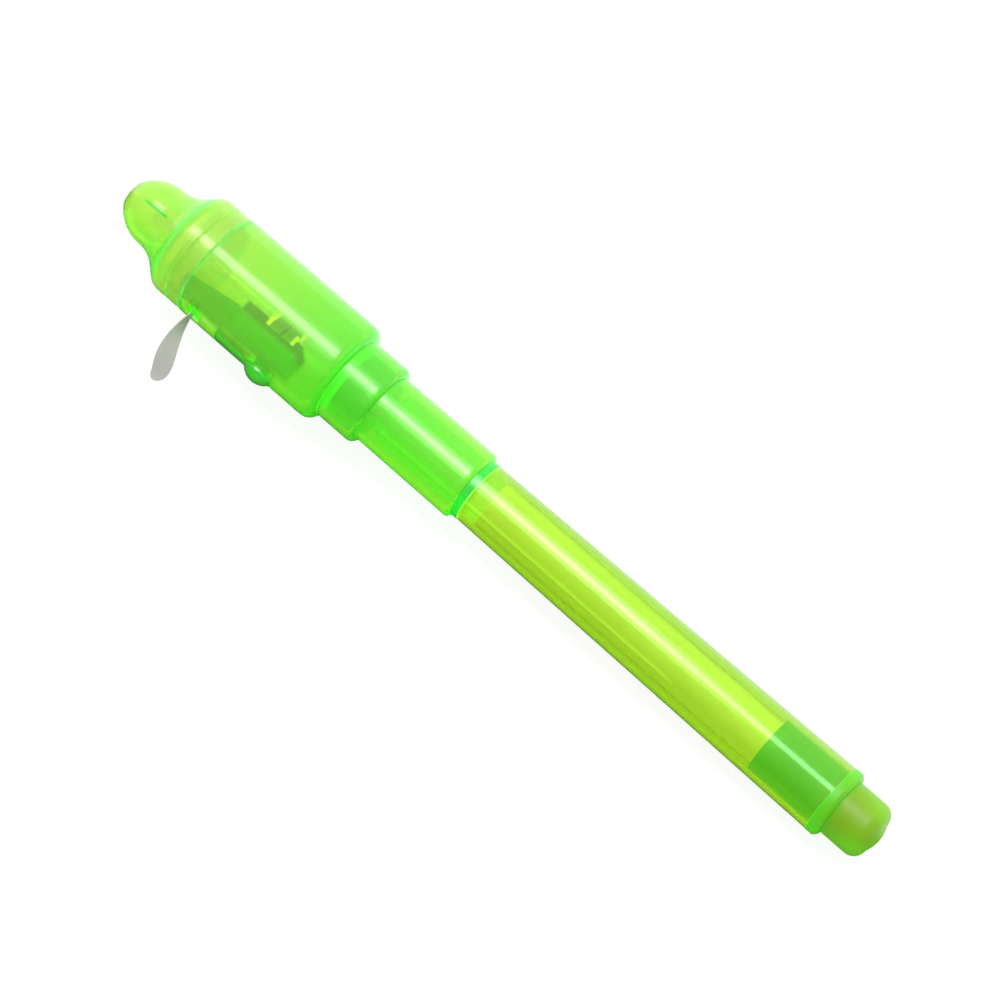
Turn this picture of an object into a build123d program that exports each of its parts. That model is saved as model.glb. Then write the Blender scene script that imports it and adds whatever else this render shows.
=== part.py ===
from build123d import *
import math
import os

# Ink pen with an ultraviolet torch in its cap, in millimetres.
# X runs along the pen: nose at -X, tail at +X. The button and the pull tab face -Y. +Z is up.
# The origin is on the axis, at the seat of the tail post.

# Tail plug
post_d = 8.5
post_length = 6.8
post_round = 1.9
post_crown = 0.55
flange_step = 0.05
flange_length = 1.6
flange_chamfer = 0.5
spigot_length = 10.9
plug_wall = 1.1
plug_end_wall = 1.6
plug_core_end_d = 3.1

# Barrel
barrel_length = 62.6
barrel_front_d = 9.1
barrel_rear_d = 10.4
barrel_wall = 0.8

# Front section that carries the nib
ring_step = 0.05
ring_length = 1.1
snout_length = 14.0
snout_gap = 0.3
snout_draft = 0.4
snout_cone = 1.8
tip_tube_length = 2.0
tip_wall = 0.55
tip_draft = 0.8
front_spigot_length = 2.6
bead_width = 0.7
bead_top_width = 0.2
bead_from_ring = 3.0

# Nib and ink reservoir
nib_d = 2.3
nib_reach = 1.9
nib_point_d = 1.0
nib_point_length = 1.2
nib_tail = 3.5
film_wall = 0.12

# Cap sleeve
sleeve_length = 22.8
sleeve_wall = 0.875
sleeve_draft = 0.15
sleeve_end_wall = 1.0
mouth_round = 0.7

# Torch housing
housing_d = 15.6
housing_wall = 1.4
housing_length = 23.9
shoulder_round = 1.8
collar_wall = 0.975
collar_length = 6.3
collar_round = 0.95
partition = 1.2
edge_chamfer = 0.2
nose_spigot_length = 3.5
nose_spigot_gap = 0.3
snap_from_seam = 2.5
snap_width = 0.6

# Nose cone
nose_length = 15.4
seam_step = 0.05
skirt_wall = 0.6
led_to_wall = 1.2
rim_inset = 0.45
nose_dome_length = 5.1
flare_length = 6.4
flare_turn = 0.67
nose_wall = 1.0
nose_inner_start = 1.8
rib_count = 4
rib_thickness = 0.4
rib_length = 4.2
rib_from_rim = 2.3
flare_ring_from_seam = 5.2
flare_ring_length = 0.8
flare_ring_bore_d = 10.4
groove_from_seam = 2.5
groove_width = 0.35
groove_depth = 0.12

# Lamp
led_d = 5.0
led_length = 8.6
led_flange_d = 5.8
led_flange_length = 1.0
led_proud = 0.5
lead_pitch = 2.54
lead_size = 0.5
anode_length = 16.6
lead_inside = 3.0
cup_d = 1.2
cup_length = 0.9
post_gap_to_cup = 0.35

# Cells and carrier
cell_d = 5.8
cell_length = 2.15
cell_cap_d = 4.6
cell_cap_length = 0.35
contact_thickness = 0.25
contact_width = 3.0
contact_proud = 0.2
ear_length = 0.3
ear_height = 1.3
ear_thickness = 0.2
ear_gap = 0.1
strip_thickness = 0.15
deck_length = 8.7
deck_below_leads = 2.75
deck_front_drop = 1.05
block_length = 3.65
block_below_leads = 1.15
bay_wall = 0.7
bay_wall_rise = 0.2
end_wall_length = 1.1
carrier_ahead_of_seam = 1.1
belly_height = 1.2

# Button tongue
tongue_root_from_seam = 6.6
tongue_stem_width = 2.7
button_d = 4.5
button_height = 1.1
button_from_root = 7.8
button_rim = 0.25
nub_d = 1.6
nub_height = 0.25
slit = 0.3
hinge_gap = 0.1

# Switch leaf
leaf_thickness = 0.15
leaf_width = 1.6
leaf_from_root = 1.5
leaf_beyond_button = 1.3
leaf_rest_gap = 0.15
leaf_room = 0.55

# Pull tab
tab_thickness = 0.12
tab_neck_width = 2.2
tab_wide_width = 2.95
tab_below_lead = 0.15
tab_from_seam = 2.6
tab_tip_shift = -0.45
tab_tip_turn = 31.0
tab_straight = 0.3
tab_reach = 8.05
tab_drop = 10.0
tab_slope = 60.0
tab_twist = 85.0
tab_round_share = 0.5
tab_tip_share = 0.14
tab_sections = 14
tab_inside_y = 0.3
slot_width = 2.2
slot_over_tab = 0.3

# Clearances
fit = 0.05
film_gap = 0.03
running = 0.1
post_clearance = 0.1

# Diameters that follow from the sizes above
flange_d = barrel_rear_d + 2 * flange_step
ring_d = barrel_front_d + 2 * ring_step
film_d = barrel_front_d - 2 * (barrel_wall + running)
fibre_d = film_d - 2 * (film_wall + film_gap)
sleeve_bore_d = post_d + 2 * post_clearance
sleeve_front_d = sleeve_bore_d + 2 * sleeve_wall
sleeve_mouth_d = sleeve_front_d + sleeve_draft
snout_base_d = sleeve_bore_d - 2 * snout_gap
snout_front_d = snout_base_d - snout_draft
tip_tube_end_d = nib_d + 2 * tip_wall
tip_tube_d = tip_tube_end_d + tip_draft
housing_bore_d = housing_d - 2 * housing_wall
collar_d = sleeve_front_d + 2 * (fit + collar_wall)
nose_skirt_d = housing_d - 2 * seam_step
nose_skirt_bore_d = nose_skirt_d - 2 * skirt_wall
nose_spigot_d = nose_skirt_bore_d - 2 * nose_spigot_gap
nose_neck_d = led_d + 2 * (led_to_wall + nose_wall)
nose_rim_d = led_d - 2 * rim_inset

# Stations along the axis
barrel_rear_x = -flange_length
barrel_front_x = barrel_rear_x - barrel_length
ring_front_x = barrel_front_x - ring_length
mouth_x = ring_front_x - fit
snout_front_x = ring_front_x - snout_length
tip_x = snout_front_x - snout_cone - tip_tube_length
nib_x = tip_x - nib_reach
fibre_front_x = barrel_front_x + front_spigot_length + fit
spigot_front_x = barrel_rear_x - spigot_length
fibre_rear_x = spigot_front_x - fit
sleeve_front_x = mouth_x - sleeve_length
partition_rear_x = sleeve_front_x - fit
collar_rear_x = partition_rear_x + collar_length
shoulder_x = partition_rear_x
seam_x = shoulder_x - housing_length
nose_rim_x = seam_x - fit - nose_length
led_x = nose_rim_x - led_proud
led_base_x = led_x + led_length

# Places across the axis
lead_offset = lead_pitch / 2
tab_z = lead_offset - lead_size / 2 - tab_below_lead + tab_neck_width / 2
carrier_r = housing_bore_d / 2 - running
leaf_bottom_y = -housing_bore_d / 2 + nub_height + leaf_rest_gap
cell_axis_y = leaf_bottom_y + leaf_thickness + leaf_room + cell_d / 2
contact_top_y = cell_axis_y + cell_d / 2 + contact_proud
deck_top_y = -lead_size / 2 - deck_below_leads
block_top_y = -lead_size / 2 - block_below_leads
bay_wall_top_y = cell_axis_y + bay_wall_rise
ear_bottom_y = bay_wall_top_y + running
ear_inner_z = cell_d / 2 + ear_gap
ear_outer_z = ear_inner_z + ear_thickness
belly_y = -housing_bore_d / 2 + belly_height
carrier_x = seam_x - carrier_ahead_of_seam
block_x = carrier_x + deck_length
bay_x = block_x + block_length
cell_front_x = bay_x + contact_thickness + 2 * fit
cell_rear_x = cell_front_x + cell_length + fit
rear_contact_x = cell_rear_x + cell_length + fit
end_wall_x = rear_contact_x + contact_thickness + fit
carrier_end_x = end_wall_x + end_wall_length
root_x = seam_x + tongue_root_from_seam
button_x = root_x + button_from_root
tab_x = seam_x + tab_from_seam
cathode_end_x = tab_x - tab_thickness / 2 - film_gap
strip_x = tab_x + tab_thickness / 2 + film_gap
wall_mid_y = -(housing_d + housing_bore_d) / 4


def line(*points):
    """Straight edges through points given as X and radius."""
    return Polyline(*points).edges()


def turned(*groups):
    """A solid of revolution about X from the edges of one closed outline."""
    edges = [edge for group in groups for edge in group]
    return revolve(make_face(edges), Axis.X)


def corner(x, radius, size):
    """A quarter round that ends a cylinder of the given radius at X, on its +X side."""
    return [CenterArc((x - size, radius - size), size, 0, 90).edge()]


def block(x_range, y_range, z_range):
    """A box between pairs of limits."""
    size = [high - low for low, high in (x_range, y_range, z_range)]
    middle = [(low + high) / 2 for low, high in (x_range, y_range, z_range)]
    return Pos(*middle) * Box(*size)


def rod(x_range, diameter):
    """A plain round bar along the axis."""
    low, high = x_range
    radius = diameter / 2
    return turned(line((low, 0), (low, radius), (high, radius), (high, 0), (low, 0)))


def barrel_bore_r(x):
    """Bore radius of the tapered barrel at X."""
    share = (x - barrel_front_x) / barrel_length
    outer = barrel_front_d + share * (barrel_rear_d - barrel_front_d)
    return outer / 2 - barrel_wall


def make_barrel():
    """Tapered tube of even wall."""
    return turned(line(
        (barrel_front_x, barrel_front_d / 2 - barrel_wall),
        (barrel_front_x, barrel_front_d / 2),
        (barrel_rear_x, barrel_rear_d / 2),
        (barrel_rear_x, barrel_rear_d / 2 - barrel_wall),
        (barrel_front_x, barrel_front_d / 2 - barrel_wall),
    ))


def make_end_plug():
    """Hollow spigot, flange and closed post with a crowned end."""
    spigot_front_r = barrel_bore_r(spigot_front_x) - fit
    spigot_rear_r = barrel_bore_r(barrel_rear_x) - fit
    core_r = spigot_front_r - plug_wall
    post_r = post_d / 2
    flat_x = post_length - post_crown
    shape = turned(
        line((spigot_front_x, 0), (spigot_front_x, spigot_front_r), (barrel_rear_x, spigot_rear_r),
             (barrel_rear_x, flange_d / 2), (-flange_chamfer, flange_d / 2), (0, flange_d / 2 - flange_chamfer),
             (0, post_r), (flat_x - post_round, post_r)),
        corner(flat_x, post_r, post_round),
        [TangentArc((post_length, 0), (flat_x, post_r - post_round), tangent=(0, 1)).edge()],
        line((post_length, 0), (spigot_front_x, 0)),
    )
    core_end_x = post_length - plug_end_wall
    core = turned(line((spigot_front_x, 0), (spigot_front_x, core_r), (0, core_r),
                       (core_end_x, plug_core_end_d / 2), (core_end_x, 0), (spigot_front_x, 0)))
    return shape - core


def make_front_section():
    """Nib holder: spigot, stop ring, tapered snout with a sealing bead, and the tip tube."""
    spigot_rear_x = barrel_front_x + front_spigot_length
    spigot_r = barrel_bore_r(barrel_front_x) - fit
    shape = turned(line(
        (spigot_rear_x, 0), (spigot_rear_x, spigot_r), (barrel_front_x, spigot_r),
        (barrel_front_x, ring_d / 2), (ring_front_x, ring_d / 2), (ring_front_x, snout_base_d / 2),
        (snout_front_x, snout_front_d / 2), (snout_front_x - snout_cone, tip_tube_d / 2),
        (tip_x, tip_tube_end_d / 2), (tip_x, 0), (spigot_rear_x, 0),
    ))
    bead_x = ring_front_x - bead_from_ring
    bead_top_r = sleeve_bore_d / 2 - fit
    bead = turned(line(
        (bead_x - bead_width / 2, tip_tube_d / 2), (bead_x - bead_width / 2, snout_front_d / 2),
        (bead_x - bead_top_width / 2, bead_top_r), (bead_x + bead_top_width / 2, bead_top_r),
        (bead_x + bead_width / 2, snout_front_d / 2), (bead_x + bead_width / 2, tip_tube_d / 2),
        (bead_x - bead_width / 2, tip_tube_d / 2),
    ))
    return shape + bead - rod((tip_x, spigot_rear_x), nib_d + 2 * film_gap)


def make_nib():
    """Fibre rod with a bullet point."""
    tail_x = fibre_front_x + nib_tail
    shaft_x = nib_x + nib_point_length
    return turned(
        line((nib_x, 0), (nib_x, nib_point_d / 2)),
        [TangentArc((shaft_x, nib_d / 2), (nib_x, nib_point_d / 2), tangent=(-1, 0)).edge()],
        line((shaft_x, nib_d / 2), (tail_x, nib_d / 2), (tail_x, 0), (nib_x, 0)),
    )


def make_reservoir_fibre():
    """Fibre rod, with the nib's tail in its front end."""
    nib_hole = rod((fibre_front_x, fibre_front_x + nib_tail + film_gap), nib_d + 2 * film_gap)
    return rod((fibre_front_x, fibre_rear_x), fibre_d) - nib_hole


def make_reservoir_film():
    """Thin film tube round the fibre."""
    ends = (fibre_front_x, fibre_rear_x)
    return rod(ends, film_d) - rod(ends, film_d - 2 * film_wall)


def make_cap_sleeve():
    """Closed tube with a rounded mouth."""
    bore_r = sleeve_bore_d / 2
    mouth_r = sleeve_mouth_d / 2
    return turned(
        line((sleeve_front_x, 0), (sleeve_front_x, sleeve_front_d / 2), (mouth_x - mouth_round, mouth_r)),
        corner(mouth_x, mouth_r, mouth_round),
        line((mouth_x, mouth_r - mouth_round), (mouth_x, bore_r), (sleeve_front_x + sleeve_end_wall, bore_r),
             (sleeve_front_x + sleeve_end_wall, 0), (sleeve_front_x, 0)),
    )


def tongue_outline(grow):
    """Paddle outline of the tongue, seen along Y and grown outward by a margin."""
    stem_start = root_x + hinge_gap - grow / slit * hinge_gap
    stem = Pos((stem_start + button_x) / 2, 0) * Rectangle(button_x - stem_start, tongue_stem_width + 2 * grow)
    pad = Pos(button_x, 0) * Circle(button_d / 2 + button_rim + grow)
    depth = housing_d
    return extrude(Plane.XZ * (stem + pad), depth)


def make_torch_housing():
    """Wide tube with a snap spigot, a round shoulder, the collar, the tab slot and the button window."""
    outer_r = housing_d / 2
    bore_r = housing_bore_d / 2
    collar_r = collar_d / 2
    socket_r = sleeve_front_d / 2 + fit
    spigot_x = seam_x - nose_spigot_length
    bore_end_x = partition_rear_x - partition
    blend_x = shoulder_x - math.sqrt(shoulder_round ** 2 - (collar_r - outer_r + shoulder_round) ** 2)
    meet = (shoulder_x, collar_r)
    shape = turned(
        line((spigot_x, bore_r), (spigot_x, nose_spigot_d / 2), (seam_x, nose_spigot_d / 2),
             (seam_x, outer_r - edge_chamfer), (seam_x + edge_chamfer, outer_r), (blend_x, outer_r)),
        [TangentArc((blend_x, outer_r), meet, tangent=(1, 0)).edge()],
        line(meet, (collar_rear_x - collar_round, collar_r)),
        corner(collar_rear_x, collar_r, collar_round),
        line((collar_rear_x, collar_r - collar_round), (collar_rear_x, socket_r), (partition_rear_x, socket_r),
             (partition_rear_x, 0), (bore_end_x, 0), (bore_end_x, bore_r), (spigot_x, bore_r)),
    )
    snap_x = seam_x - snap_from_seam
    snap = rod((snap_x - snap_width / 2, snap_x + snap_width / 2), nose_skirt_bore_d - 2 * fit)
    shape += snap - rod((snap_x - snap_width, snap_x + snap_width), housing_bore_d)
    slot_half = tab_neck_width / 2 + slot_over_tab
    slot = block((tab_x - slot_width / 2, tab_x + slot_width / 2), (-housing_d, -housing_bore_d / 4),
                 (tab_z - slot_half, tab_z + slot_half))
    return shape - slot - tongue_outline(slit)


def make_button_tongue():
    """Flexing piece of the housing wall with the domed button outside and a nub inside."""
    outer_r = housing_d / 2
    wall = rod((root_x, button_x + button_d), housing_d) - rod((root_x, button_x + button_d), housing_bore_d)
    tongue = wall & tongue_outline(0)
    dome_r = ((button_d / 2) ** 2 + button_height ** 2) / (2 * button_height)
    dome_y = -(outer_r + button_height - dome_r)
    dome = Pos(button_x, dome_y, 0) * Sphere(dome_r)
    skirt = Pos(button_x, wall_mid_y, 0) * Rot(90, 0, 0) * Cylinder(button_d / 2, 2 * button_d)
    outside = block((root_x, button_x + button_d), (-housing_d, wall_mid_y), (-button_d, button_d))
    tongue += dome & skirt & outside
    nub_length = nub_height + (housing_d - housing_bore_d) / 4
    nub_y = -housing_bore_d / 2 + nub_height - nub_length / 2
    return tongue + Pos(button_x, nub_y, 0) * Rot(90, 0, 0) * Cylinder(nub_d / 2, nub_length)


def bell(rim_x, rim_r, neck_x, neck_r, skirt_x, skirt_r, end_x):
    """Solid bell: a dome, a smooth S-shaped flare and a straight skirt."""
    turn = (neck_x + flare_turn * (skirt_x - neck_x), neck_r + flare_turn * (skirt_r - neck_r))
    return turned(
        line((rim_x, 0), (rim_x, rim_r)),
        [TangentArc((neck_x, neck_r), (rim_x, rim_r), tangent=(-1, 0)).edge(),
         Spline((neck_x, neck_r), turn, (skirt_x, skirt_r), tangents=[(1, 0), (1, 0)]).edge()],
        line((skirt_x, skirt_r), (end_x, skirt_r), (end_x, 0), (rim_x, 0)),
    )


def lamp_body(margin):
    """Domed lamp with its base flange, grown by a margin."""
    radius = led_d / 2 + margin
    centre_x = led_x + led_d / 2
    dome = Pos(centre_x, 0, 0) * Sphere(radius)
    shaft = rod((centre_x, led_base_x + margin), 2 * radius)
    flange = rod((led_base_x - led_flange_length - margin, led_base_x + margin), led_flange_d + 2 * margin)
    return dome + shaft + flange


def make_nose_cone():
    """Bell-shaped cover with a window for the lamp, ribs that steady it, a stiffening ring and a snap skirt."""
    end_x = seam_x - fit
    neck_x = nose_rim_x + nose_dome_length
    skirt_x = neck_x + flare_length
    outer = bell(nose_rim_x, nose_rim_d / 2, neck_x, nose_neck_d / 2, skirt_x, nose_skirt_d / 2, end_x)
    cavity = bell(nose_rim_x + nose_inner_start, led_d / 2, neck_x, nose_neck_d / 2 - nose_wall,
                  skirt_x, nose_skirt_bore_d / 2, end_x)
    rib_x = nose_rim_x + rib_from_rim
    rib = block((rib_x, rib_x + rib_length), (-rib_thickness / 2, rib_thickness / 2), (0, nose_neck_d / 2))
    ribs = [Rot(360 / rib_count * index, 0, 0) * rib for index in range(rib_count)]
    shell = outer - cavity
    ring_end_x = seam_x - flare_ring_from_seam
    ring = (ring_end_x - flare_ring_length, ring_end_x)
    shell += (rod(ring, nose_skirt_d) & outer) - rod(ring, flare_ring_bore_d)
    for each in ribs:
        shell += each & outer
    edge = shell.edges().sort_by(Axis.X)[-2:].sort_by(SortBy.RADIUS)[-1]
    shell = chamfer(edge, edge_chamfer)
    groove_x = seam_x - groove_from_seam
    skirt_r = nose_skirt_d / 2
    shell -= turned(line((groove_x - groove_width / 2, skirt_r), (groove_x, skirt_r - groove_depth),
                         (groove_x + groove_width / 2, skirt_r), (groove_x, skirt_r + groove_depth),
                         (groove_x - groove_width / 2, skirt_r)))
    return shell - lamp_body(running)


def lead_bar(z, end_x):
    """Square lead wire that runs back from inside the lamp."""
    half = lead_size / 2
    return block((led_base_x - lead_inside, end_x), (-half, half), (z - half, z + half))


def make_cathode_lead():
    """Lead with the round cup that holds the chip."""
    cup_x = led_base_x - lead_inside
    arm = block((cup_x, cup_x + lead_size), (-lead_size / 2, lead_size / 2), (0, lead_offset))
    cup = rod((cup_x - cup_length, cup_x + lead_size), cup_d)
    return lead_bar(lead_offset, cathode_end_x) + arm + cup


def make_anode_lead():
    """Lead with a short post beside the cup."""
    post_x = led_base_x - lead_inside
    post_z = -(cup_d / 2 + post_gap_to_cup)
    arm = block((post_x, post_x + lead_size), (-lead_size / 2, lead_size / 2), (-lead_offset, post_z))
    return lead_bar(-lead_offset, led_base_x + anode_length) + arm


def make_led_lens(leads):
    """Clear lamp body, moulded round its two leads."""
    body = lamp_body(0)
    for lead in leads:
        body -= lead
    return body


def make_coin_cell(x):
    """Button cell: a can with a smaller raised end."""
    can = rod((x + cell_cap_length, x + cell_length), cell_d)
    return Pos(0, cell_axis_y, 0) * (can + rod((x, x + cell_length), cell_cap_d))


def contact_plate(x, ear_x):
    """Upright plate at the end of the cells, with two clip ears beside them."""
    end_x = x + contact_thickness
    plate = block((x, end_x), (cell_axis_y - cell_cap_d / 2, contact_top_y), (-contact_width / 2, contact_width / 2))
    ear_y = (ear_bottom_y, ear_bottom_y + ear_height)
    plate += block((x, end_x), ear_y, (-ear_outer_z, ear_outer_z))
    for side in (-1, 1):
        ear_z = sorted((side * ear_inner_z, side * ear_outer_z))
        plate += block((min(x, ear_x), max(end_x, ear_x)), ear_y, ear_z)
    return plate


def make_front_contact():
    """Contact in front of the cells with an upright strip whose end meets the lamp's lead."""
    plate_x = bay_x + fit
    plate = contact_plate(plate_x, plate_x + contact_thickness + ear_length)
    half = lead_size / 2
    strip = block((strip_x, plate_x + contact_thickness), (-strip_thickness / 2, strip_thickness / 2),
                  (lead_offset - half, lead_offset + half))
    return plate + strip


def make_rear_contact():
    """Contact behind the cells."""
    return contact_plate(rear_contact_x, rear_contact_x - ear_length)


def make_switch_leaf():
    """Thin strip between the button's nub and the rear cell."""
    return block((root_x + leaf_from_root, button_x + leaf_beyond_button),
                 (leaf_bottom_y, leaf_bottom_y + leaf_thickness), (-leaf_width / 2, leaf_width / 2))


def make_battery_carrier():
    """Stepped tray in the button-side half: deck, lead block, cell bay and end wall."""
    reach = carrier_r
    side = cell_d / 2 + running + bay_wall
    deck_side = make_face(line((carrier_x, -reach), (carrier_x, deck_top_y - deck_front_drop),
                               (block_x, deck_top_y), (block_x, -reach), (carrier_x, -reach)))
    deck = extrude(deck_side, reach, both=True)
    lead_block = block((block_x, bay_x), (-reach, block_top_y), (-side, side))
    bay = block((bay_x, end_wall_x), (-reach, bay_wall_top_y), (-side, side))
    end_wall = block((end_wall_x, carrier_end_x), (-reach, block_top_y), (-side, side))
    tray = (deck + lead_block + bay + end_wall) & rod((carrier_x, carrier_end_x), 2 * carrier_r)
    tray -= Pos(0, cell_axis_y, 0) * rod((bay_x, end_wall_x), cell_d + 2 * running)
    tray -= block((bay_x, end_wall_x), (cell_axis_y, housing_d), (-cell_d / 2 - running, cell_d / 2 + running))
    belly_half = button_d / 2 + button_rim + slit
    tray -= block((root_x - slit, carrier_end_x + slit), (-housing_d, belly_y), (-belly_half, belly_half))
    channel = tab_thickness / 2 + running
    tab_half = tab_neck_width / 2 + running
    return tray - block((tab_x - channel, tab_x + channel), (-housing_d, 0), (tab_z - tab_half, tab_z + tab_half))


def make_pull_tab():
    """Thin film: upright inside the housing, outside it droops and twists into a flat paddle."""
    bend_y = -housing_d / 2 - tab_straight
    slope = math.radians(tab_slope)
    turn = math.tan(math.radians(tab_tip_turn))
    path = Spline((tab_x, bend_y, tab_z), (tab_x + tab_tip_shift, bend_y - tab_reach, tab_z - tab_drop),
                  tangents=[(0, -1, 0), (-turn, -math.cos(slope), -math.sin(slope))])
    sections = []
    for index in range(tab_sections + 1):
        share = index / tab_sections
        forward = path % share
        upright = Vector(0, forward.Z, -forward.Y).normalized()
        growth = math.sin(share * math.pi / 2)
        angle = math.radians(tab_twist) * growth
        across = upright * math.cos(angle) + forward.cross(upright) * math.sin(angle)
        width = tab_neck_width + (tab_wide_width - tab_neck_width) * growth
        past = max(0, share - tab_round_share) / (1 - tab_round_share)
        width *= tab_tip_share + (1 - tab_tip_share) * math.sqrt(1 - past * past)
        sections.append(Plane(path @ share, x_dir=across, z_dir=forward) * Rectangle(width, tab_thickness))
    half = tab_thickness / 2
    neck = tab_neck_width / 2
    inside = block((tab_x - half, tab_x + half), (bend_y, tab_inside_y), (tab_z - neck, tab_z + neck))
    return inside + loft(sections)


cathode_lead = make_cathode_lead()
anode_lead = make_anode_lead()

pieces = {
    "barrel": make_barrel(),
    "front_section": make_front_section(),
    "nib": make_nib(),
    "reservoir_fibre": make_reservoir_fibre(),
    "reservoir_film": make_reservoir_film(),
    "end_plug": make_end_plug(),
    "torch_housing": make_torch_housing(),
    "cap_sleeve": make_cap_sleeve(),
    "nose_cone": make_nose_cone(),
    "led_lens": make_led_lens((cathode_lead, anode_lead)),
    "led_anode_lead": anode_lead,
    "led_cathode_lead": cathode_lead,
    "battery_carrier": make_battery_carrier(),
    "coin_cell_front": make_coin_cell(cell_front_x),
    "coin_cell_rear": make_coin_cell(cell_rear_x),
    "front_contact": make_front_contact(),
    "rear_contact": make_rear_contact(),
    "switch_leaf": make_switch_leaf(),
    "button_tongue": make_button_tongue(),
    "pull_tab": make_pull_tab(),
}

os.makedirs("parts", exist_ok=True)
for name, piece in pieces.items():
    export_step(piece, f"parts/{name}.step")
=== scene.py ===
import math

import bpy
from mathutils import Matrix, Vector


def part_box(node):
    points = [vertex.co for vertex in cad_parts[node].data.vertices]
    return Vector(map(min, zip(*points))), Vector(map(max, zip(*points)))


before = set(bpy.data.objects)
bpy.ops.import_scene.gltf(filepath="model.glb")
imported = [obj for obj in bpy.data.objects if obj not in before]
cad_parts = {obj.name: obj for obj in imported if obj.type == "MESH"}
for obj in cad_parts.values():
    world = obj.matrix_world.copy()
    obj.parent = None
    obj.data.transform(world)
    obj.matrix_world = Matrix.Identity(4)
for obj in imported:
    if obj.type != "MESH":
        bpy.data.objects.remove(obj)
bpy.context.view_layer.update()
MM = 0.001

# Camera, as seen in the photograph
CAMERA_AZIMUTH = 42.0
CAMERA_ELEVATION = 74.5
CAMERA_DISTANCE = 0.724
CAMERA_LENS = 194.4
CAMERA_SENSOR = 36.0
CAMERA_NEAR = 0.01
CAMERA_TARGET = (-61.5 * MM, 1.17 * MM, 0.0)

# Light: the surround, the floor, two soft boxes and a dark card
WORLD_DIM = 0.1
WORLD_BRIGHT = 0.9
WORLD_TOWARD = (0.0, 0.75, 0.66)
WORLD_RISE_FROM = -0.6
FLOOR_SIZE = 6.0
FLOOR_GLOW = 0.88
FLOOR_LIGHT = (0.2, 0.2, 0.2)
FLOOR_DARK = (0.18, 0.18, 0.18)
FLOOR_ROUGHNESS = 0.7
KEY_POWER = 3.9
KEY_SIZE = (0.8, 0.28)
KEY_PLACE = (-0.2, 0.2, 0.93)
WIDE_POWER = 0.95
WIDE_SIZE = (0.12, 0.75)
WIDE_PLACE = (-0.17, 0.2, 0.93)
CARD_SIZE = 0.6
CARD_EDGE_Y = 2.0 * MM
CARD_RISE = 0.1 * MM
CARD_DARK = (0.02, 0.03, 0.02)
CARD_LIGHT = (0.03, 0.04, 0.03)
CARD_ROUGHNESS = 0.9
PAPER_SCALE = 300.0
PAPER_DETAIL = 3.0

# Light paths: enough for the nested clear walls
CLEAR_BOUNCES = 40
GLOSS_BOUNCES = 16
DIFFUSE_BOUNCES = 6
SEE_THROUGH_BOUNCES = 16
BRIGHTEST_BOUNCE = 6.0

# Places where a material changes its shade or its painted light, and the lengths over which it does
LAMP_TIP_X = -126.8 * MM
LAMP_FADE = 0.2 * MM
TOP_LINE_START_X = -125.0 * MM
TOP_LINE_END_X = -119.9 * MM
FLARE_RING_X = -117.7 * MM
SEAM_X = -112.1 * MM
SKIRT_START_X = FLARE_RING_X + 0.4 * MM
SKIRT_END_X = SEAM_X - 0.3 * MM
SKIRT_FADE = 0.6 * MM
BLOCK_X = -104.6 * MM
BLOCK_FADE = 0.3 * MM
PLATE_X = -101.2 * MM
PLATE_FADE = 0.3 * MM
SHOULDER_X = -88.2 * MM
FLOW_START_X = -80.0 * MM
FLOW_END_X = -27.0 * MM
MOUTH_X = -65.35 * MM
MOUTH_FADE = 0.4 * MM
SPIGOT_X = -64.2 * MM
SPIGOT_FADE = 0.4 * MM
STOP_FADE = 0.2 * MM
FLANGE_X = -3.0 * MM
BARREL_END_X = -1.6 * MM
POST_X = 1.2 * MM
TAB_TIP_Y = -16.0 * MM
TAB_EXIT_Y = -8.0 * MM
TAB_FADE = 0.6 * MM
DECK_Y = -3.3 * MM
EDGE_Y = -2.5 * MM
FIBRE_REACH_Y = 3.3 * MM

# Lines along the pen, the flow line drawn as painted light: the angle from the top towards the button, half
# the width and the fading ends
FLOW_ANGLE = math.radians(39.0)
FLOW_WIDTH = 0.13 * MM
TOP_LINE_ANGLE = math.radians(6.0)
TOP_LINE_WIDTH = 0.33 * MM
LINE_FADE = 1.0 * MM

# Rings of painted light round the pen: half the width
FLARE_RING_WIDTH = 0.6 * MM
SEAM_RING_WIDTH = 0.8 * MM
FRONT_EDGE_WIDTH = 0.2 * MM
REAR_EDGE_WIDTH = 0.1 * MM

# Marks in the plastic, and painted light: the glowing bands at the flare ring and the seam, and the fibre's
# glow, dimmer on the button side
SPECK_SHADE = (0.02, 0.08, 0.01)
SPECK_SCALE = 160.0
SPECK_CORE = 0.007
SPECK_RIM = 0.014
STRIPE_SHADE = (0.96, 0.92, 0.3)
STRIPE_SCALE = 560.0
STRIPE_STRETCH = (1, 0.05, 0.05)
STRIPE_WOBBLE = 0.4
STRIPE_MOST = 0.55
# Painted glow: the lighter, greener band at the ring where the nose's flare ends
FLARE_GLOW_SHADE = (0.35, 1.0, 0.35)
# Painted glow: the lighter band at the seam of nose and housing
SEAM_GLOW_SHADE = (0.7, 1.0, 0.5)
STOP_SHADE = (0.14, 0.72, 0.26)
LINE_SHADE = (0.12, 0.8, 0.12)
# Painted glow of the fibre: dimmer on the button side as painted shade, brighter on the other
FIBRE_DIM = 0.7
FIBRE_BRIGHT = 1.18

# Unevenness of every dyed plastic: clouds in the dye, smudges of the gloss, ripples of the wall
PLASTIC_IOR = 1.49
CLOUD_SCALE = 160.0
CLOUD_DETAIL = 3.0
CLOUD_STRETCH = (0.4, 1, 1)
CLOUD_MOST = 0.16
CLOUD_DIM = 0.6
SMUDGE_SCALE = 600.0
SMUDGE_STRETCH = (0.35, 1, 1)
SMUDGE_LOW = 0.85
SMUDGE_HIGH = 1.15
RIPPLE_SCALE = 420.0
FINE_DETAIL = 2.0

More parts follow.
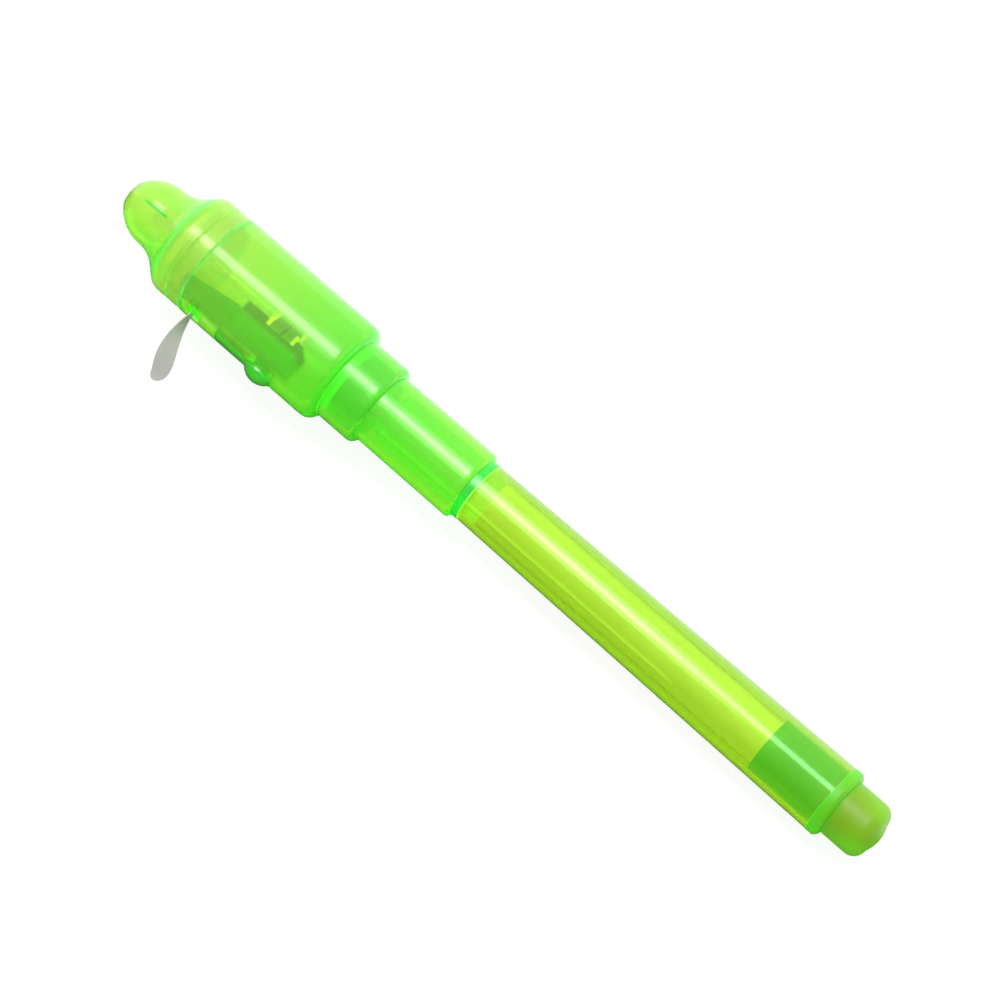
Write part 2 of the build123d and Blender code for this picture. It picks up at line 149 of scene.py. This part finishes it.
# Grain of the opaque surfaces
GRAIN_DETAIL = 6.0
GRAIN_LOW = 0.7
GRAIN_HIGH = 1.3
GRAIN_DEPTH = 0.02 * MM
FILM_DETAIL = 4.0
FILM_DEPTH = 0.01 * MM
FILM_CLEAR = 0.9


def new_material(name):
    """An empty node material: the material, its tree and its output node."""
    material = bpy.data.materials.new(name)
    material.use_nodes = True
    tree = material.node_tree
    tree.nodes.clear()
    output = tree.nodes.new("ShaderNodeOutputMaterial")
    return material, tree, output


def add(tree, kind, **values):
    """A shader node with the given input values."""
    node = tree.nodes.new(kind)
    for key, value in values.items():
        node.inputs[key.replace("_", " ")].default_value = value
    return node


def object_coordinates(tree, scale):
    """Object coordinates stretched by a scale for each axis."""
    coordinates = tree.nodes.new("ShaderNodeTexCoord")
    mapping = add(tree, "ShaderNodeMapping", Scale=scale)
    tree.links.new(coordinates.outputs["Object"], mapping.inputs["Vector"])
    return mapping.outputs["Vector"]


def noise(tree, scale, detail, stretch=(1, 1, 1)):
    """Noise value between 0 and 1."""
    node = add(tree, "ShaderNodeTexNoise", Scale=scale, Detail=detail)
    tree.links.new(object_coordinates(tree, stretch), node.inputs["Vector"])
    return node.outputs["Fac"]


def ramp(tree, value, low, high, start=0.0, end=1.0):
    """The value between start and end, mapped to a range."""
    node = add(tree, "ShaderNodeMapRange", From_Min=start, From_Max=end, To_Min=low, To_Max=high)
    tree.links.new(value, node.inputs["Value"])
    return node.outputs["Result"]


def place(tree, axis, start, end):
    """0 to 1 between two places along an axis of the pen."""
    coordinates = tree.nodes.new("ShaderNodeTexCoord")
    parts = tree.nodes.new("ShaderNodeSeparateXYZ")
    tree.links.new(coordinates.outputs["Object"], parts.inputs[0])
    return ramp(tree, parts.outputs[axis], 0.0, 1.0, start, end)


def combine(tree, operation, *values):
    """One value from others by a math operation."""
    node = tree.nodes.new("ShaderNodeMath")
    node.operation = operation
    for socket, value in zip(node.inputs, values):
        tree.links.new(value, socket)
    return node.outputs[0]


def product(tree, first, second):
    """Two values multiplied."""
    return combine(tree, "MULTIPLY", first, second)


def either(tree, first, second):
    """The larger of two values."""
    return combine(tree, "MAXIMUM", first, second)


def fall_off(tree, value, width):
    """1 where a value is 0, falling to 0 at a width on each side."""
    return ramp(tree, combine(tree, "ABSOLUTE", value), 1.0, 0.0, 0.0, width)


def ring(tree, centre, width):
    """1 on a ring round the pen, fading to 0 at a width on each side."""
    rise = place(tree, "X", centre - width, centre)
    fall = place(tree, "X", centre + width, centre)
    return product(tree, rise, fall)


def stretch_of_pen(tree, start, end, start_fade, end_fade):
    """1 between two places along the pen, fading to 0 at its ends."""
    rise = place(tree, "X", start, start + start_fade)
    fall = place(tree, "X", end, end - end_fade)
    return product(tree, rise, fall)


def long_line(tree, angle, width, start, end):
    """1 on a thin line along the pen at an angle round it, between a start and an end."""
    coordinates = tree.nodes.new("ShaderNodeTexCoord")
    across = tree.nodes.new("ShaderNodeVectorMath")
    across.operation = "DOT_PRODUCT"
    across.inputs[1].default_value = (0, -math.cos(angle), -math.sin(angle))
    tree.links.new(coordinates.outputs["Object"], across.inputs[0])
    length = stretch_of_pen(tree, start, end, LINE_FADE, LINE_FADE)
    return product(tree, fall_off(tree, across.outputs["Value"], width), length)


def few_specks(tree):
    """1 at a few tiny grains in the plastic, 0 elsewhere."""
    node = add(tree, "ShaderNodeTexVoronoi", Scale=SPECK_SCALE)
    tree.links.new(object_coordinates(tree, (1, 1, 1)), node.inputs["Vector"])
    return ramp(tree, node.outputs["Distance"], 1.0, 0.0, SPECK_CORE, SPECK_RIM)


def flare_ring(tree):
    """The ring where the nose's flare ends, painted as a luminous green band of glow."""
    return ring(tree, FLARE_RING_X, FLARE_RING_WIDTH)


def seam_ring(tree):
    """The ring at the seam of nose and housing, painted as a lighter luminous band of glow."""
    return ring(tree, SEAM_X, SEAM_RING_WIDTH)


def skirt_stripes(tree):
    """Fine rings between the flare and the seam, as a lathe leaves them in a mould."""
    wave = add(tree, "ShaderNodeTexWave", Scale=STRIPE_SCALE, Distortion=STRIPE_WOBBLE, Detail=FINE_DETAIL)
    tree.links.new(object_coordinates(tree, STRIPE_STRETCH), wave.inputs["Vector"])
    skirt = stretch_of_pen(tree, SKIRT_START_X, SKIRT_END_X, SKIRT_FADE, SKIRT_FADE)
    return product(tree, skirt, ramp(tree, wave.outputs["Fac"], 0.0, STRIPE_MOST))


def top_line(tree):
    """The line on top of the nose."""
    return long_line(tree, TOP_LINE_ANGLE, TOP_LINE_WIDTH, TOP_LINE_START_X, TOP_LINE_END_X)


def flow_line(tree):
    """The line on sleeve and barrel where the plastic's flow met in the mould, drawn only as a painted
    bright line.
    """
    return long_line(tree, FLOW_ANGLE, FLOW_WIDTH, FLOW_START_X, FLOW_END_X)


def barrel_light(tree):
    """The flow line and the barrel's two end edges, painted bright with light of their own."""
    front_edge = ring(tree, SPIGOT_X, FRONT_EDGE_WIDTH)
    rear_edge = ring(tree, BARREL_END_X, REAR_EDGE_WIDTH)
    return either(tree, flow_line(tree), either(tree, front_edge, rear_edge))


def stop_ring(tree):
    """The ring of the nib holder that shows between cap and barrel."""
    return stretch_of_pen(tree, MOUTH_X - MOUTH_FADE, SPIGOT_X + STOP_FADE, MOUTH_FADE, STOP_FADE)


def spigot_light(tree):
    """1 on the part of the nib holder inside the barrel, where it gets a painted glow."""
    return place(tree, "X", SPIGOT_X, SPIGOT_X + SPIGOT_FADE)


def fibre_light(tree):
    """The strength of the fibre's painted glow: dimmer on the button side as painted shade, brighter on the
    other.
    """
    return ramp(tree, place(tree, "Y", -FIBRE_REACH_Y, FIBRE_REACH_Y), FIBRE_DIM, FIBRE_BRIGHT)


def mix(tree, value, first, second):
    """A colour between two, each a fixed colour or a socket, by a value."""
    node = tree.nodes.new("ShaderNodeMix")
    node.data_type = "RGBA"
    tree.links.new(value, node.inputs[0])
    for socket, colour in zip(node.inputs[6:8], (first, second)):
        if isinstance(colour, tuple):
            socket.default_value = (*colour, 1)
        else:
            tree.links.new(colour, socket)
    return node.outputs[2]


def bump(tree, value, depth):
    """A bump normal from a height value, its depth in metres."""
    node = add(tree, "ShaderNodeBump", Strength=1.0, Distance=depth)
    tree.links.new(value, node.inputs["Height"])
    return node.outputs["Normal"]


def dyed_plastic(name, front, rear, span, clear, roughness, absorb, density, glow, glow_strength,
                 ripple_depth=0.006 * MM, ripple_length=0.15, gloss=0.25, gloss_roughness=0.16,
                 reflection=(1, 1, 1), marks=(), shine=None):
    """Moulded plastic, part clear and part hazy, whose dye absorbs all through the wall, with a painted glow
    all through the wall in place of the dye's glow under light.

    The shade runs from front to rear over a span along the pen. Marks are pairs of a place and its shade,
    some of them painted glow, and shine is a place that gives painted light of its own and the colour of
    that light.
    """
    material, tree, output = new_material(name)
    shader = add(tree, "ShaderNodeBsdfPrincipled", IOR=PLASTIC_IOR, Transmission_Weight=clear,
                 Coat_Weight=gloss, Coat_Roughness=gloss_roughness, Specular_Tint=(*reflection, 1))
    shade = mix(tree, place(tree, "X", *span), front, rear)
    cloud = ramp(tree, noise(tree, CLOUD_SCALE, CLOUD_DETAIL, CLOUD_STRETCH), 0.0, CLOUD_MOST)
    shade = mix(tree, cloud, shade, tuple(CLOUD_DIM * part for part in rear))
    for mark, colour in marks:
        shade = mix(tree, mark(tree), shade, colour)
    if shine:
        lit_place, light_colour = shine
        shader.inputs["Emission Color"].default_value = (*light_colour, 1)
        tree.links.new(lit_place(tree), shader.inputs["Emission Strength"])
    tree.links.new(shade, shader.inputs["Base Color"])
    smudge = noise(tree, SMUDGE_SCALE, FINE_DETAIL, SMUDGE_STRETCH)
    uneven = ramp(tree, smudge, roughness * SMUDGE_LOW, roughness * SMUDGE_HIGH)
    tree.links.new(uneven, shader.inputs["Roughness"])
    ripple = noise(tree, RIPPLE_SCALE, FINE_DETAIL, (ripple_length, 1, 1))
    tree.links.new(bump(tree, ripple, ripple_depth), shader.inputs["Normal"])
    tree.links.new(shader.outputs[0], output.inputs["Surface"])
    dye = add(tree, "ShaderNodeVolumeAbsorption", Color=(*absorb, 1), Density=density)
    # Painted glow all through the wall, the same under any light
    light = add(tree, "ShaderNodeEmission", Color=(*glow, 1), Strength=glow_strength)
    volume = tree.nodes.new("ShaderNodeAddShader")
    tree.links.new(dye.outputs[0], volume.inputs[0])
    tree.links.new(light.outputs[0], volume.inputs[1])
    tree.links.new(volume.outputs[0], output.inputs["Volume"])
    return material


def matte(name, light, dark, roughness, grain, stretch=(1, 1, 1), metallic=0.0, glow=(0, 0, 0),
          glow_place=None):
    """Opaque surface with two shades of one colour, uneven roughness, a fine grain and a painted glow if one
    is given.
    """
    material, tree, output = new_material(name)
    shader = add(tree, "ShaderNodeBsdfPrincipled", Metallic=metallic, Emission_Color=(*glow, 1),
                 Emission_Strength=1.0)
    if glow_place:
        tree.links.new(glow_place(tree), shader.inputs["Emission Strength"])
    value = noise(tree, grain, GRAIN_DETAIL, stretch)
    tree.links.new(mix(tree, value, light, dark), shader.inputs["Base Color"])
    uneven = ramp(tree, value, roughness * GRAIN_LOW, min(1.0, roughness * GRAIN_HIGH))
    tree.links.new(uneven, shader.inputs["Roughness"])
    tree.links.new(bump(tree, value, GRAIN_DEPTH), shader.inputs["Normal"])
    tree.links.new(shader.outputs[0], output.inputs["Surface"])
    return material


def housing_plastic():
    """Bright green, yellower at the nose end and deeper at the collar."""
    return dyed_plastic("housing_green", front=(0.98, 0.97, 0.24), rear=(0.46, 0.97, 0.14),
                        span=(SEAM_X, SHOULDER_X), clear=0.84, roughness=0.15,
                        absorb=(0.58, 0.92, 0.1), density=700.0, glow=(0.21, 1.0, 0.1), glow_strength=80.0,
                        marks=((seam_ring, SEAM_GLOW_SHADE),))


def button_plastic():
    """Emerald, because the round button is solid."""
    return dyed_plastic("button_green", front=(0.4, 0.93, 0.2), rear=(0.36, 0.92, 0.2),
                        span=(SEAM_X, SHOULDER_X), clear=0.8, roughness=0.14,
                        absorb=(0.4, 0.88, 0.1), density=700.0, glow=(0.12, 1.0, 0.1), glow_strength=48.0)


def nose_plastic():
    """Yellow green and rather milky, so that the lamp inside is only a soft shape."""
    return dyed_plastic("nose_green", front=(0.88, 0.98, 0.25), rear=(0.85, 0.98, 0.23),
                        span=(2 * SEAM_X, SEAM_X), clear=0.78, roughness=0.18,
                        absorb=(0.5, 0.95, 0.0), density=500.0, glow=(0.21, 0.95, 0.15), glow_strength=165.0,
                        marks=((few_specks, SPECK_SHADE), (flare_ring, FLARE_GLOW_SHADE), (seam_ring, SEAM_GLOW_SHADE),
                               (skirt_stripes, STRIPE_SHADE), (top_line, LINE_SHADE)))


def sleeve_plastic():
    """Deep green where the collar doubles the wall, lighter towards the mouth."""
    return dyed_plastic("sleeve_green", front=(0.45, 0.97, 0.15), rear=(0.78, 0.96, 0.16),
                        span=(SHOULDER_X, MOUTH_X), clear=0.84, roughness=0.14,
                        absorb=(0.48, 0.95, 0.0), density=700.0, glow=(0.16, 1.0, 0.06), glow_strength=118.0,
                        marks=((few_specks, SPECK_SHADE),), shine=(flow_line, (0.06, 0.12, 0.01)))


def section_plastic():
    """Emerald nib holder, with a painted glow where it sits in the barrel, in place of the light from the
    fibre around it.
    """
    return dyed_plastic("section_green", front=(0.6, 0.95, 0.2), rear=(0.35, 0.92, 0.2),
                        span=(SHOULDER_X, MOUTH_X), clear=0.8, roughness=0.16,
                        absorb=(0.4, 0.92, 0.2), density=500.0, glow=(0.14, 1.0, 0.08), glow_strength=65.0,
                        marks=((stop_ring, STOP_SHADE),), shine=(spigot_light, (0.36, 0.14, 0.2)))


def barrel_plastic():
    """Yellow green and clearer than the cap."""
    return dyed_plastic("barrel_green", front=(0.9, 0.98, 0.14), rear=(0.92, 0.98, 0.15),
                        span=(MOUTH_X, FLANGE_X), clear=0.92, roughness=0.1,
                        absorb=(0.58, 0.86, 0.0), density=1000.0, glow=(0.45, 1.0, 0.05), glow_strength=50.0,
                        ripple_depth=0.001 * MM, ripple_length=0.01, gloss=0.14,
                        reflection=(0.62, 1.0, 0.95), shine=(barrel_light, (0.2, 0.35, 0.05)))


def plug_plastic():
    """Green inside the barrel, olive on the post."""
    return dyed_plastic("plug_green", front=(0.05, 0.92, 0.01), rear=(0.45, 0.55, 0.01),
                        span=(FLANGE_X, POST_X), clear=0.5, roughness=0.42,
                        absorb=(0.4, 0.9, 0.0), density=700.0, glow=(0.1, 1.0, 0.0), glow_strength=140.0,
                        gloss=0.04, gloss_roughness=0.3)


def lamp_resin():
    """Clear resin, grey violet at the tip that looks out of the nose."""
    return dyed_plastic("lamp_resin", front=(0.3, 0.25, 0.28), rear=(0.9, 0.9, 0.93),
                        span=(LAMP_TIP_X - LAMP_FADE, LAMP_TIP_X), clear=0.92, roughness=0.1,
                        absorb=(0.8, 0.75, 0.9), density=150.0, glow=(0.6, 0.55, 0.25), glow_strength=90.0)


def clear_film():
    """Clear film round the fibre."""
    return dyed_plastic("clear_film", front=(0.97, 1.0, 0.9), rear=(0.95, 1.0, 0.87),
                        span=(MOUTH_X, FLANGE_X), clear=0.9, roughness=0.15,
                        absorb=(0.9, 0.95, 0.9), density=50.0, glow=(0.9, 1.0, 0.5), glow_strength=2.0)


def ink_fibre():
    """Soft white fibre soaked with ink, with a painted glow in place of the light through the dyed barrel,
    dimmer on the button side as painted shade.
    """
    return matte("ink_fibre", light=(0.95, 0.97, 0.8), dark=(0.88, 0.92, 0.7), roughness=0.9, grain=1500.0,
                 stretch=(0.05, 1, 1), glow=(0.68, 0.88, 0.4), glow_place=fibre_light)


def nib_fibre():
    """Pressed fibre of the writing point, with a painted glow."""
    return matte("nib_fibre", light=(0.85, 0.86, 0.8), dark=(0.7, 0.72, 0.66), roughness=0.9, grain=2500.0,
                 stretch=(0.1, 1, 1), glow=(0.3, 0.4, 0.1))


def tinned_lead():
    """Tinned wire, with a faint painted glow."""
    return matte("tinned_lead", light=(0.8, 0.84, 0.72), dark=(0.7, 0.74, 0.62), roughness=0.4, grain=1200.0,
                 metallic=0.2, glow=(0.16, 0.24, 0.04))


def cell_steel():
    """Dull steel of the button cells."""
    return matte("cell_steel", light=(0.42, 0.43, 0.4), dark=(0.32, 0.33, 0.3), roughness=0.3, grain=900.0,
                 metallic=1.0)


def contact_brass():
    """Brushed brass, with a painted glint on the plates, brighter and with a warm glow of its own, and dull
    on the strip that runs forward.
    """
    material, tree, output = new_material("contact_brass")
    shader = add(tree, "ShaderNodeBsdfPrincipled", Metallic=1.0, Emission_Color=(0.4, 0.12, 0.2, 1))
    value = noise(tree, scale=900.0, detail=GRAIN_DETAIL, stretch=(0.2, 1, 1))
    # Painted glint: brighter brass on the plates and a warm glow of their own there
    plate = place(tree, "X", PLATE_X - PLATE_FADE, PLATE_X)
    glint_brass = mix(tree, value, (0.98, 0.82, 0.34), (0.88, 0.68, 0.26))
    dull = mix(tree, value, (0.6, 0.68, 0.3), (0.5, 0.58, 0.22))
    tree.links.new(mix(tree, plate, dull, glint_brass), shader.inputs["Base Color"])
    tree.links.new(plate, shader.inputs["Emission Strength"])
    tree.links.new(ramp(tree, value, low=0.18, high=0.34), shader.inputs["Roughness"])
    tree.links.new(bump(tree, value, GRAIN_DEPTH), shader.inputs["Normal"])
    tree.links.new(shader.outputs[0], output.inputs["Surface"])
    return material


def carrier_plastic():
    """Green tray with a faint painted glow in place of light through the dyed housing, darkest at the top
    edges round the cells.
    """
    material, tree, output = new_material("carrier_plastic")
    shader = add(tree, "ShaderNodeBsdfPrincipled", Roughness=0.5, Emission_Color=(0.0, 0.08, 0.0, 1),
                 Emission_Strength=1.0)
    value = noise(tree, scale=700.0, detail=GRAIN_DETAIL)
    shade = mix(tree, value, (0.03, 0.84, 0.02), (0.02, 0.74, 0.015))
    edge = product(tree, place(tree, "X", BLOCK_X, BLOCK_X + BLOCK_FADE), place(tree, "Y", DECK_Y, EDGE_Y))
    shade = mix(tree, edge, shade, (0.0, 0.13, 0.02))
    tree.links.new(shade, shader.inputs["Base Color"])
    tree.links.new(bump(tree, value, GRAIN_DEPTH), shader.inputs["Normal"])
    tree.links.new(shader.outputs[0], output.inputs["Surface"])
    return material


def tab_film():
    """Milky film, paler towards the tip and clearer at the end inside the housing."""
    material, tree, output = new_material("tab_film")
    value = noise(tree, scale=900.0, detail=FILM_DETAIL)
    shader = add(tree, "ShaderNodeBsdfPrincipled", Roughness=0.35)
    root = mix(tree, value, (0.4, 0.47, 0.32), (0.46, 0.52, 0.38))
    tip = mix(tree, value, (0.84, 0.85, 0.77), (0.9, 0.9, 0.84))
    shade = mix(tree, place(tree, "Y", TAB_EXIT_Y, TAB_TIP_Y), root, tip)
    tree.links.new(shade, shader.inputs["Base Color"])
    tree.links.new(bump(tree, value, FILM_DEPTH), shader.inputs["Normal"])
    see_through = tree.nodes.new("ShaderNodeBsdfTransparent")
    film = tree.nodes.new("ShaderNodeMixShader")
    inside = place(tree, "Y", TAB_EXIT_Y, TAB_EXIT_Y + TAB_FADE)
    tree.links.new(ramp(tree, inside, 0.0, FILM_CLEAR), film.inputs["Fac"])
    tree.links.new(shader.outputs[0], film.inputs[1])
    tree.links.new(see_through.outputs[0], film.inputs[2])
    tree.links.new(film.outputs[0], output.inputs["Surface"])
    return material


def dress_nodes():
    """Each CAD node wears its material."""
    tin = tinned_lead()
    steel = cell_steel()
    brass = contact_brass()
    looks = {
        "barrel": barrel_plastic(),
        "front_section": section_plastic(),
        "nib": nib_fibre(),
        "reservoir_fibre": ink_fibre(),
        "reservoir_film": clear_film(),
        "end_plug": plug_plastic(),
        "torch_housing": housing_plastic(),
        "cap_sleeve": sleeve_plastic(),
        "nose_cone": nose_plastic(),
        "led_lens": lamp_resin(),
        "led_anode_lead": tin,
        "led_cathode_lead": tin,
        "battery_carrier": carrier_plastic(),
        "coin_cell_front": steel,
        "coin_cell_rear": steel,
        "front_contact": brass,
        "rear_contact": brass,
        "switch_leaf": brass,
        "button_tongue": button_plastic(),
        "pull_tab": tab_film(),
    }
    for name, material in looks.items():
        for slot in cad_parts[name].material_slots:
            slot.material = material


def lie_down(name, size, shift, rise):
    """A square plane, tilted like a table that touches the housing and the tail flange."""
    housing_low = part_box("torch_housing")[0]
    sleeve_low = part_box("cap_sleeve")[0]
    plug_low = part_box("end_plug")[0]
    touch_front = Vector((sleeve_low[0], 0, housing_low[2]))
    touch_rear = Vector((0, 0, plug_low[2]))
    slope = math.atan2(touch_rear.z - touch_front.z, touch_rear.x - touch_front.x)
    middle = touch_front + Vector((0, shift, rise))
    bpy.ops.mesh.primitive_plane_add(size=size, location=middle, rotation=(0, -slope, 0))
    plane = bpy.context.object
    plane.name = name
    return plane


def make_floor():
    """A pale floor under the pen."""
    floor = lie_down("floor", FLOOR_SIZE, 0, 0)
    material, tree, output = new_material("floor_white")
    shader = add(tree, "ShaderNodeBsdfPrincipled", Roughness=FLOOR_ROUGHNESS, Emission_Color=(1, 1, 1, 1),
                 Emission_Strength=FLOOR_GLOW)
    grain = noise(tree, PAPER_SCALE, PAPER_DETAIL)
    tree.links.new(mix(tree, grain, FLOOR_LIGHT, FLOOR_DARK), shader.inputs["Base Color"])
    tree.links.new(shader.outputs[0], output.inputs["Surface"])
    floor.data.materials.append(material)


def make_card():
    """A dark card beside the pen, seen only in its reflections, that darkens the lower rims."""
    card = lie_down("dark_card", CARD_SIZE, CARD_EDGE_Y - CARD_SIZE / 2, CARD_RISE)
    material, tree, output = new_material("card_grey")
    shader = add(tree, "ShaderNodeBsdfPrincipled", Roughness=CARD_ROUGHNESS)
    grain = noise(tree, PAPER_SCALE, PAPER_DETAIL)
    tree.links.new(mix(tree, grain, CARD_DARK, CARD_LIGHT), shader.inputs["Base Color"])
    tree.links.new(shader.outputs[0], output.inputs["Surface"])
    card.data.materials.append(material)
    card.visible_camera = False
    card.visible_diffuse = False
    card.visible_transmission = False
    card.visible_volume_scatter = False
    card.visible_shadow = False


def soft_box(name, size, power, offset):
    """A rectangular lamp that faces the pen, its first side along the pen."""
    data = bpy.data.lights.new(name, "AREA")
    data.shape = "RECTANGLE"
    data.size, data.size_y = size
    data.energy = power
    lamp = bpy.data.objects.new(name, data)
    target = Vector(CAMERA_TARGET)
    lamp.location = target + Vector(offset)
    back = (lamp.location - target).normalized()
    side = back.cross(Vector((1, 0, 0))).normalized()
    along = side.cross(back)
    lamp.rotation_euler = Matrix((along, side, back)).transposed().to_euler()
    bpy.context.collection.objects.link(lamp)


def make_light():
    """A long soft box above the pen, a wide one over the neck and a white surround, brighter on one side."""
    world = bpy.data.worlds.new("studio")
    world.use_nodes = True
    tree = world.node_tree
    background = tree.nodes["Background"]
    background.inputs["Color"].default_value = (1, 1, 1, 1)
    direction = tree.nodes.new("ShaderNodeTexCoord").outputs["Generated"]
    toward = tree.nodes.new("ShaderNodeVectorMath")
    toward.operation = "DOT_PRODUCT"
    toward.inputs[1].default_value = WORLD_TOWARD
    tree.links.new(direction, toward.inputs[0])
    strength = add(tree, "ShaderNodeMapRange", From_Min=WORLD_RISE_FROM,
                   To_Min=WORLD_DIM, To_Max=WORLD_BRIGHT)
    strength.interpolation_type = "SMOOTHSTEP"
    tree.links.new(toward.outputs["Value"], strength.inputs["Value"])
    tree.links.new(strength.outputs["Result"], background.inputs["Strength"])
    bpy.context.scene.world = world
    soft_box("key", KEY_SIZE, KEY_POWER, KEY_PLACE)
    soft_box("wide", WIDE_SIZE, WIDE_POWER, WIDE_PLACE)


def make_camera():
    """The photograph's camera."""
    azimuth = math.radians(CAMERA_AZIMUTH)
    elevation = math.radians(CAMERA_ELEVATION)
    toward = Vector((math.cos(elevation) * math.sin(azimuth), -math.cos(elevation) * math.cos(azimuth),
                     math.sin(elevation)))
    data = bpy.data.cameras.new("camera")
    data.lens = CAMERA_LENS
    data.sensor_width = CAMERA_SENSOR
    data.clip_start = CAMERA_NEAR
    camera = bpy.data.objects.new("camera", data)
    camera.location = Vector(CAMERA_TARGET) + CAMERA_DISTANCE * toward
    camera.rotation_euler = toward.to_track_quat("Z", "Y").to_euler()
    bpy.context.collection.objects.link(camera)
    bpy.context.scene.camera = camera


def set_picture():
    """Plain colour handling and enough light bounces for the nested clear walls."""
    scene = bpy.context.scene
    scene.view_settings.view_transform = "Standard"
    scene.cycles.max_bounces = CLEAR_BOUNCES
    scene.cycles.transmission_bounces = CLEAR_BOUNCES
    scene.cycles.glossy_bounces = GLOSS_BOUNCES
    scene.cycles.diffuse_bounces = DIFFUSE_BOUNCES
    scene.cycles.transparent_max_bounces = SEE_THROUGH_BOUNCES
    scene.cycles.sample_clamp_indirect = BRIGHTEST_BOUNCE
    scene.cycles.use_denoising = True


dress_nodes()
make_floor()
make_card()
make_light()
make_camera()
set_picture()
